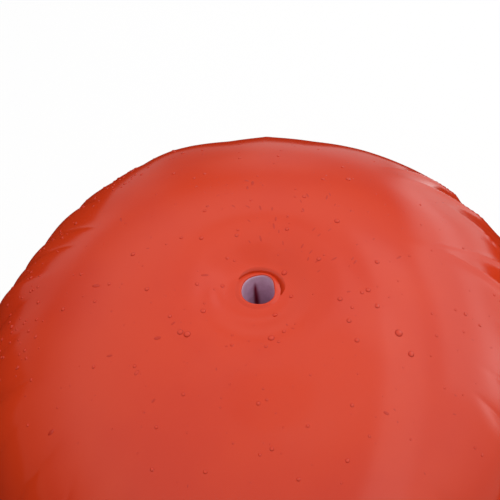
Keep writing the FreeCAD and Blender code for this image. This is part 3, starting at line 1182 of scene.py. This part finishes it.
@dataclass
class Valve(Assembly):
    """The inflation valve, in millimetres about its own axis.

    It has a patch, a flange, a neck, a folding tether, and a ribbed cap on its own body.
    """

    spot: Spot
    throat: float = 6.0
    neck: float = 9.0
    rim: float = 12.0
    cap_inner: float = 10.0
    cap_outer: float = 12.0
    cap_foot: float = 6.0
    cap_top: float = 14.3
    ribs: int = 36
    rib_depth: float = 0.45
    fold_height: float = 17.0  # where the tether folds, along
    fold_reach: float = 9.0  # where its halves meet, outwards
    tether_half: float = 3.5
    body: str = "valve_cap"

    def build(self) -> None:
        """Every piece of the valve."""
        self.build_seat()
        self.build_tether()
        self.build_cap()

    def add_block(self, name: str, *ranges: Pair, body: str = FLOAT_BODY) -> None:
        """Add a block of plastic, given by its reach outwards, sideways and along."""
        self.add(block(name, np.array(ranges) * MM, self.spot), Slot.PLASTIC, body=body)

    def build_seat(self) -> None:
        """The patch and the flange lie on the skin; the neck stands square on it."""
        patch = [(6.3, 0.9), (18.5, 0.9), (22.4, 0.9), (23.0, 0.72), (23.6, 0.72), (24.2, 0.9), (25.4, 0.88),
                 (25.8, 0.75), (26.0, 0.45), (25.95, -0.1), (6.3, -0.1)]
        self.add(self.spot.layer("valve_patch_cloth", np.array(patch) * MM), Slot.COATED, "valve_patch")
        flange = [(8.7, 1.0), (8.7, 2.2), (12.4, 2.2), (13.0, 2.05), (14.6, 2.05), (15.2, 2.2), (17.0, 2.2),
                  (17.7, 2.0), (18.0, 1.6), (18.0, 0.95), (17.6, 0.85), (10.0, 0.85)]
        self.add(self.spot.layer("valve_flange", np.array(flange) * MM), Slot.PLASTIC, "valve_body")
        neck, rim, throat = self.neck, self.rim, self.throat
        section = [(neck, -0.9), (neck, 4.4), (neck, 8.6), (neck + 0.45, 9.3), (neck + 0.45, 9.8),
                   (neck, 10.5), (neck, rim - 0.5), (neck - 0.15, rim - 0.12), (neck - 0.5, rim),
                   (throat + 0.5, rim), (throat + 0.12, rim - 0.12), (throat, rim - 0.5),
                   (throat, 4.0), (throat, -1.2), (neck - 0.6, -1.2)]
        self.add(revolved("valve_neck", np.array(section) * MM, self.spot, 96), Slot.PLASTIC)

    def build_tether(self) -> None:
        """A flat ring round the neck, a tongue out of it and the riser up to the fold."""
        turn = steps_round(16)
        ring = [10.5, 3.3] + soft_power(np.stack([np.cos(turn), np.sin(turn)], -1), 0.5) * [1.2, 0.8]
        self.add(revolved("tether_ring", ring * MM, self.spot, 96), Slot.PLASTIC, "cap_tether")
        sideways = (-self.tether_half, self.tether_half)
        fold = self.fold_height
        self.add_block("tether_tongue", (2.5, 4.1), sideways, (11.0, fold))
        self.add_block("tether_riser", (2.5, self.fold_reach - 0.05), sideways, (fold - 1.6, fold))

    def build_cap(self) -> None:
        """The cap: a ribbed skirt, a dished top, its half of the tongue and a finger tab.

        The skirt's radius falls by rib * (1 - |cos(n t)|) between the ribs.
        """
        inner, outer, foot, top = self.cap_inner, self.cap_outer, self.cap_foot, self.cap_top
        rows = [(0.4, top - 0.5, 0), (6.0, top - 0.5, 0), (8.0, top - 0.45, 0), (8.5, top - 0.1, 0), (8.9, top, 0),
                (outer - 1.2, top, 0), (outer - 0.6, top - 0.16, 0), (outer - 0.2, top - 0.6, 0.3),
                (outer, top - 1.2, 1), (outer, top - 3.0, 1), (outer, foot + 1.6, 1), (outer, foot + 0.7, 0.4),
                (outer - 0.15, foot + 0.2, 0), (outer - 0.5, foot, 0), (inner + 0.4, foot, 0),
                (inner + 0.1, foot + 0.2, 0), (inner, foot + 0.6, 0), (inner, top - 2.4, 0),
                (inner - 0.4, top - 2.0, 0), (0.4, top - 2.0, 0)]
        columns = self.ribs * 6
        radius, reach, ribbed = np.array(rows).T[:, :, None]
        radius = radius - self.rib_depth * ribbed * (1 - np.abs(np.cos(self.ribs * steps_round(columns) / 2)))
        section = np.stack([radius, reach + 0 * radius], -1) * MM
        shell = revolved("cap_shell", section, self.spot, columns, BOTH_ENDS)
        self.add(shell, Slot.PLASTIC, "valve_cap", body=self.body)
        self.add_block("cap_tongue", (self.fold_reach + 0.05, self.fold_reach + 1.8),
                       (-self.tether_half, self.tether_half), (11.2, self.fold_height), body=self.body)
        self.add_block("cap_tab", (top - 2.0, top), (-4.5, 4.5), (-outer - 4.5, -11.0), body=self.body)


@dataclass
class Beads(Assembly):
    """Water beads on the upper panel: the large ones listed, and small ones strewn between them."""

    skin: Skin
    seed: int = 23
    strewn: int = 330
    rim_beads: int = 110
    run_marks: int = 34
    columns: int = 10
    # Radius and painted-shade mark of a bead's three rings, as shares.
    rings: tuple[Pair, ...] = ((1.0, 1.0), (0.86, 0.75), (0.5, 0.15))
    spread: float = 0.9  # true size for a listed one of 1
    bulge: float = 0.42  # height for a radius of 1
    sunk: float = 0.04 * MM
    # Azimuth in degrees, distance from the weld and size in millimetres.
    listed: tuple[Three, ...] = (
        (39, 185.5, 3.9), (60.8, 209, 2.9), (153.2, 170.5, 3.4), (173.8, 187.3, 3.2), (202.8, 217.2, 3.6),
        (214, 201.1, 4.6), (209.8, 198.9, 4), (276.8, 215.1, 4.4), (333.2, 165.8, 5.2), (328, 154.6, 4.2),
        (32.2, 233.8, 4), (168.2, 106.7, 3.4), (172.2, 84.4, 3.6), (350.2, 188.3, 3.4), (327.8, 194.2, 3.2),
        (320.2, 184.5, 3.2), (7.5, 180.2, 3.2), (342, 182, 3.4), (340.5, 203.6, 3.4), (19.8, 212.7, 3.2),
        (128.5, 203.6, 3), (171, 217.2, 2.6), (293, 232.2, 3.4), (162, 138, 2.6), (174, 130.5, 3.2),
        (179.2, 109.6, 2.8), (52.5, 144.5, 3.6), (59.8, 155.1, 2.8),
    )

    def rows(self) -> Array:
        """Draw the beads.

        Returns:
            Azimuth in degrees, distance and diameter in millimetres, stretch and turn of each.
        """
        draw = np.random.default_rng(self.seed)
        large = np.array([row + (1.0, 0.0) for row in self.listed])
        count = self.strewn
        azimuth = draw.uniform(0, 360, count)
        distance = 236.0 - 150.0 * draw.uniform(0, 1, count) ** 0.8
        size = 0.9 + 1.9 * draw.uniform(0, 1, count) ** 2.5
        stretch = np.where(draw.uniform(0, 1, count) > 0.86, draw.uniform(1.8, 3.2, count), 1.0)
        small = np.stack([azimuth, distance, size, stretch, draw.uniform(-0.6, 0.6, count)], -1)
        near_rim = ((105, 186), (64, 104), (1.4, 3.0), (1.0, 1.0), (0.0, 0.0))
        streaks = ((5, 100), (165, 222), (0.9, 1.5), (2.2, 4.5), (0.1, 0.9))
        return np.concatenate([large, small] + [
            np.stack([draw.uniform(*limits, count) if limits[0] < limits[1] else np.full(count, limits[0])
                      for limits in kinds], -1)
            for kinds, count in ((near_rim, self.rim_beads), (streaks, self.run_marks))])

    def build(self) -> None:
        """All beads as one mesh.

        Each is three rings and two poles of the cap height * sqrt(1 - r^2), whose foot is a little
        under the skin; a stretched bead is longer along the panel and lower.
        """
        rows = self.rows()
        count, n = len(rows), self.columns
        azimuth, distance, size, stretch, turn = (column[:, None, None] for column in rows.T)
        # the rings' second column is the painted-shade mark, which darkens a bead towards its foot
        ring, foot = np.array(self.rings).T[:, None, :, None]
        spin = steps_round(n)
        radius = self.spread * size * MM / 2
        height = self.bulge * radius / stretch ** 0.5
        u, v = radius * ring * np.cos(spin), radius * ring * stretch * np.sin(spin)
        u, v = u * np.cos(turn) - v * np.sin(turn), u * np.sin(turn) + v * np.cos(turn)
        u, v = (np.pad(value.reshape(count, -1), ((0, 0), (0, 2))) for value in (u, v))
        lift = height * np.repeat(np.sqrt(1.0 - ring ** 2), n, 2)
        lift = np.concatenate([lift.reshape(count, -1), height[:, :, 0] * [0.0, 1.0]], 1) - self.sunk
        distance = distance[:, :, 0] * MM
        around = np.radians(azimuth[:, :, 0]) + u / self.skin.profile.at(distance)[0]
        points = self.skin.at(around, distance + v, Side.TOP, lift)
        first = np.arange(n)
        after = np.roll(first, -1)
        quads = np.concatenate([np.stack([first + k, after + k, after + k + n, first + k + n], -1) for k in (0, n)])
        fans = np.concatenate([np.stack([first + 2 * n, after + 2 * n, np.full(n, 3 * n + 1)], -1),
                               np.stack([after, first, np.full(n, 3 * n)], -1)])
        step = (np.arange(count) * (3 * n + 2))[:, None, None]
        faces = (quads + step).reshape(-1, 4).tolist() + (fans + step).reshape(-1, 3).tolist()
        piece = outwards(mesh_piece("water_beads", points.reshape(-1, 3), faces))
        # painted shade: the foot ring of every bead, and every bead stretched more than twice, takes the deep red
        # foot colour
        foot = np.append(np.repeat(foot.ravel(), n), [1.0, 0.0])
        mark(piece, foot=np.maximum(foot, 1.5 * (stretch[:, :, 0] > 2.0)))
        self.add(piece, Slot.COATED)


# ---- studio ----------------------------------------------------------------------------------
@dataclass(frozen=True)
class Glow:
    """A soft-edged patch of light or shade on the reflected wall.

    Attributes:
        azimuth: its middle, degrees.
        rise: its middle's elevation, degrees.
        width: half its width, degrees.
        height: half its height, degrees.
        strength: radiance that it adds.
        slope: degrees that it climbs for each degree of azimuth.
    """

    azimuth: float
    rise: float
    width: float
    height: float
    strength: float
    slope: float = 0.0

    def at(self, azimuth: Array, rise: Array) -> Array:
        """strength * exp(-(across / width)^4 - (up / height)^4), up being measured from the slope.

        Args:
            azimuth: degrees.
            rise: degrees.

        Returns:
            Radiance that the patch adds.
        """
        across = degrees_off(azimuth, self.azimuth)
        up = rise - self.rise - self.slope * across
        return self.strength * np.exp(-(across / self.width) ** 4 - (up / self.height) ** 4)


@dataclass(frozen=True)
class Step:
    """A soft step of a size, which starts somewhere and comes over a length."""

    start: float
    length: float
    size: float = 1.0

    def at(self, value: Array) -> Array:
        """0 before the start, the size from start + length on."""
        return self.size * eased(value, self.start, self.length)

    def left(self, value: Array) -> Array:
        """What the step leaves of 1."""
        return 1.0 - self.at(value)


@dataclass(frozen=True)
class Room:
    """The room that the wet cloth reflects, by direction from the float.

    Directions are an azimuth and a rise in degrees.  The windows are bounded on a level ceiling one
    unit up, by how far to the right and how far back a direction meets it.
    """

    wall: float = 0.42
    wall_steps: tuple[Step, ...] = (Step(10.0, 22.0, 0.6), Step(24.0, 14.0, 0.28))
    shade: Step = Step(124.0, 22.0, 0.22)  # the darker left of the wall, by azimuth
    shade_end: float = 200.0
    shade_clear: Step = Step(22.0, 26.0)  # and where it ends upwards
    lowest: float = 4.0  # the least rise that is carried to the ceiling
    near: Step = Step(0.48, 0.08)  # edge of the near window, to the right
    near_fade: Step = Step(0.82, 0.18, 0.5)
    near_back: Step = Step(0.85, 0.5)
    near_light: float = 1.1
    far: Step = Step(1.10, 0.14)  # edge of the far one
    far_front: Step = Step(-1.5, 2.0)
    far_turn: Step = Step(59.0, 8.0)  # azimuth at which it ends
    far_climb: float = 0.55  # and how that falls with the rise
    far_light: float = 1.35
    darkest: float = 0.02  # above the table
    table_blur: float = 2.0
    patches: tuple[Glow, ...] = tuple(Glow(*row) for row in (
        (10, 17, 15, 5.5, 1.3), (34, 15.5, 13, 4, 0.75, -0.5), (50, 5, 8, 5, 0.5, -0.9),
        (54, -10, 8, 8, -0.5, -0.6), (97, 0, 8, 22, -0.22), (121, 3, 7, 5, 0.22), (72, -17, 18, 12, 0.25),
        (48, 60, 28, 6.5, 0.6), (8, 20, 10, 8, 0.9), (88, 47, 14, 6, -0.25), (139, 3, 17, 8, 0.2),
        (51, -20, 7, 7.5, -0.5), (62, -15, 4.5, 9, -0.45), (86, 4, 10, 9, 0.25),
    ))
    # The dark table's far edge, as a rise by azimuth.
    table_edge: tuple[Pair, ...] = (
        (0, -4), (30, -3), (34, 1), (37, 2.5), (39, 2), (41, 0.5), (42, -1.5), (43, -5), (44, -9.5), (45, -14),
        (46, -19), (48, -21.5), (51, -21), (53, -23), (55, -28), (58, -31), (64, -30), (70, -28), (74, -26.5),
        (77, -24), (80, -22), (98, -22), (106, -22), (111, -17), (115, -9), (118, -5), (124, -5.5), (130, -7.5),
        (136, -10), (142, -8), (148, -2), (154, 5), (158, 6), (200, -8), (340, -8), (360, -4),
    )

    def radiance(self, azimuth: Array, rise: Array) -> Array:
        """How bright the room is.

        A wall that darkens towards the floor, two windows, the patches, and below them the table.

        Args:
            azimuth: degrees round the float.
            rise: degrees above the horizon.

        Returns:
            Radiance, 1 being white.
        """
        wall = self.wall + sum(step.at(rise) for step in self.wall_steps)
        wall = wall - self.shade.at(azimuth) * (azimuth < self.shade_end) * self.shade_clear.left(rise)
        spread = 1.0 / np.tan(np.radians(np.maximum(rise, self.lowest)))
        right, back = spread * np.cos(np.radians(azimuth)), spread * np.sin(np.radians(azimuth))
        near = self.near.at(right) * self.near_fade.left(right) * self.near_back.left(back)
        turn = np.minimum(azimuth, 90.0) + self.far_climb * np.maximum(rise, 0.0)
        far = self.far.at(right) * self.far_turn.left(turn) * self.far_front.at(back)
        wall = wall + self.near_light * near * (1.0 - far) + self.far_light * far
        for patch in self.patches:
            wall = wall + patch.at(azimuth, rise)
        edge = np.interp(azimuth % 360.0, *np.array(self.table_edge).T)
        return np.maximum(wall, self.darkest) * eased(rise, edge, self.table_blur)


@dataclass
class Studio:
    """White floor and background, a soft lamp, a room seen only in reflections, and the camera."""

    middle: float = Profile.middle
    camera_rise: float = 59.8942
    camera_roll: float = 6.2485
    camera_distance: float = 0.8
    lens: float = 86.31648  # for a frame 36 wide
    aim: Pair = (0.01576941043, -0.11657435521)  # where the float's middle lies, right and up, for a depth of 1
    fill: float = 0.54  # of everything that the camera and reflections do not show
    floor_half: float = 6.0
    floor_grey: float = 0.55
    floor_light: float = 1.12
    floor_share: float = 0.8  # of its own light; the rest keeps the shadow
    room: Room = Room()
    room_radius: float = 2.4
    room_rim: Pair = (0.19, 0.15)  # the float's rim, from which its directions run
    room_floor: float = 3 * MM
    screen_turn: Three = (112.0, 209.0, 4.0)  # degrees
    screen_radius: float = 0.75
    screen_levels: Pair = (0.01, 0.24)
    screen_grey: float = 0.03
    lamp_spot: Three = (0.42, 0.3, 2.1)
    lamp_size: float = 1.8
    lamp_power: float = 24.0

    def build(self) -> None:
        """Put up the whole studio."""
        bpy.context.scene.view_settings.view_transform = "Standard"
        self.build_world()
        self.build_floor()
        self.build_screen()
        self.build_room()
        self.build_lamp()
        self.build_camera()

    def stage(self, piece: Piece, material: Material, *unseen: str) -> None:
        """Paint a piece of the studio and put it up.

        Args:
            piece: the floor or a card.
            material: its material.
            unseen: the kinds of ray that don't meet it.
        """
        paint(piece, material)
        hide(piece, *unseen)

    def shown(self, graph: Graph) -> Value:
        """Tell what is looked at from what only lights something.

        Args:
            graph: the graph of a material or of the world.

        Returns:
            1 on rays from the camera, or by way of a reflection or glass, and 0 on the others.
        """
        rays = graph.node("LightPath")
        straight = graph.math("MAXIMUM", rays.outputs["Is Camera Ray"], rays.outputs["Is Glossy Ray"])
        return graph.math("MAXIMUM", straight, rays.outputs["Is Transmission Ray"])

    def build_world(self) -> None:
        """White to the camera and in reflections, and a soft fill for everything else."""
        world = bpy.data.worlds.new("world")
        bpy.context.scene.world = world
        graph = Graph(world)
        fill, white = graph.white(self.fill, "Background"), graph.white(1.0, "Background")
        graph.finish(graph.blend(self.shown(graph), fill, white), "OutputWorld")

    def build_floor(self) -> None:
        """A large white floor that keeps the float's soft shadow."""
        corners = np.array([(-1, -1, 0), (1, -1, 0), (1, 1, 0), (-1, 1, 0)]) * self.floor_half
        material, graph = new_material("floor_paint")
        matt, white = graph.matt(self.floor_grey), graph.white(self.floor_light)
        graph.finish(graph.blend(self.shown(graph) * self.floor_share, matt, white))
        self.stage(mesh_piece("floor", corners, [(0, 1, 2, 3)]), material)

    def build_screen(self) -> None:
        """A dark curved screen low on the left, seen by nothing, which holds back the fill light there."""
        azimuth, level = np.meshgrid(np.radians(np.arange(*self.screen_turn)), np.array(self.screen_levels))
        screen = grid_piece("left_screen", polar(self.screen_radius, azimuth, level), (False, False))
        material, graph = new_material("screen_cloth")
        graph.finish(graph.matt(self.screen_grey))
        self.stage(screen, material, "camera", "glossy", "transmission")

    def build_room(self) -> None:
        """The reflected room as one bowl round the float, seen only in reflections.

        A point of the bowl is where a ray from the float's rim, at an azimuth and a rise, meets the
        floor, or lies at the room's radius if that is nearer.
        """
        azimuth, rise = np.meshgrid(np.arange(0.0, 360.0), np.arange(-62.0, 84.0))
        across, up = np.cos(np.radians(rise)), np.sin(np.radians(rise))
        radius, height = self.room_rim
        span = np.minimum(self.room_radius, (height - self.room_floor) / np.maximum(-up, 1e-6))
        points = polar(radius + span * across, np.radians(azimuth), height + span * up)
        card = mark(grid_piece("reflected_room", points, (False, True)), glow=self.room.radiance(azimuth, rise))
        material, graph = new_material("room_light")
        graph.finish(graph.white(graph.mark("glow")))
        material.cycles.emission_sampling = "NONE"
        self.stage(card, material, "camera", "diffuse", "shadow", "transmission")

    def build_lamp(self) -> None:
        """A soft lamp aimed at the float's middle, which neither the camera nor reflections show."""
        data = bpy.data.lights.new("top", "AREA")
        data.shape = "RECTANGLE"
        data.size = data.size_y = self.lamp_size
        data.energy = self.lamp_power
        spot = Vector(self.lamp_spot)
        turn = (Vector((0, 0, self.middle)) - spot).to_track_quat("-Z", "Y").to_matrix().to_4x4()
        hide(self.put("top", data, Matrix.Translation(spot) @ turn), "camera", "glossy")

    def build_camera(self) -> None:
        """Place the camera so that the float's middle lies off the view's centre by the aim."""
        rise, roll = math.radians(self.camera_rise), math.radians(self.camera_roll)
        spot = Vector((0, -math.cos(rise), math.sin(rise))) * self.camera_distance
        ahead = -spot.normalized()
        right = Vector((1, 0, 0))
        up = right.cross(ahead)
        right, up = right * math.cos(roll) - up * math.sin(roll), right * math.sin(roll) + up * math.cos(roll)
        wanted = Vector((*self.aim, -1.0)).normalized()
        shift = Vector((0, 0, -1)).rotation_difference(wanted).to_matrix()
        turned = (shift @ Matrix((right, up, -ahead))).transposed().to_4x4()
        data = bpy.data.cameras.new("camera")
        data.sensor_width = 36.0
        data.lens = self.lens
        data.clip_start = 0.01
        middle = Vector((0, 0, self.middle))
        bpy.context.scene.camera = self.put("camera", data, Matrix.Translation(spot + middle) @ turned)

    def put(self, name: str, data: bpy.types.ID, matrix: Matrix) -> Piece:
        """Put a lamp or a camera into the scene.

        Args:
            name: the object's name.
            data: the lamp or the camera.
            matrix: its place and turn.

        Returns:
            The new object.
        """
        new = bpy.data.objects.new(name, data)
        new.matrix_world = matrix
        bpy.context.scene.collection.objects.link(new)
        return new


# ---- the whole float -------------------------------------------------------------------------
RING_AZIMUTHS = {"right": 0.0, "back": 90.0, "left": 180.0, "front": 270.0}
RING_DISTANCE = 55.85 * MM
RING_CALM = (20 * MM, 34 * MM)
VALVE_AZIMUTH = 300.0
VALVE_DISTANCE = 34.91 * MM
VALVE_CALM = (26 * MM, 38 * MM)


def new_finishes() -> dict[Slot, Material]:
    """Make the finish of every slot.

    Returns:
        The materials by slot.
    """
    kinds = (CoatedFabric(), SleeveFabric(), StrapFabric(), Steel(), Moulded("valve_plastic"),
             Moulded("valve_rubber", 0.05, 0.6))
    return {Slot(kind.name): kind.material() for kind in kinds}


def build_float(finishes: dict[Slot, Material]) -> None:
    """Build every piece that stands for CAD nodes, and the water beads.

    Args:
        finishes: the material of every slot.
    """
    turns = {name: math.radians(azimuth) for name, azimuth in RING_AZIMUTHS.items()}
    fittings = [(Side.BOTTOM, turn, RING_DISTANCE, *RING_CALM) for turn in turns.values()]
    seat = (Side.TOP, math.radians(VALVE_AZIMUTH), VALVE_DISTANCE)
    skin = Skin(relief=Relief(fittings=[(*seat, *VALVE_CALM)] + fittings))
    valve_spot = Spot(skin, *seat)
    panels, mouth = Panels(finishes, skin, valve_spot), Mouth(finishes, skin)
    for side in Side:
        panels.build(side)
        mouth.build_collar(side)
    mouth.build_sleeve()
    for name, turn in turns.items():
        mount = RingMount(finishes, Spot(skin, Side.BOTTOM, turn, RING_DISTANCE), name)
        mount.build_patch()
        mount.build_strap()
    Valve(finishes, valve_spot).build()
    Beads({Slot.COATED: Droplet().material()}, skin).build()


def main() -> None:
    """Build the float and its studio, and finish the frame's own parts."""
    logging.basicConfig(level=logging.INFO, format="%(name)s: %(message)s")
    finishes = new_finishes()
    build_float(finishes)
    for part in frame["record"]["subparts"]:
        node = frame["nodes"][part["node"]]
        if not node.hide_render:
            paint(node, finishes[Slot(part["material_slot"])])
            LOG.info("%s: the frame's own", part["node"])
    Studio().build()


if __name__ == "__main__":
    main()
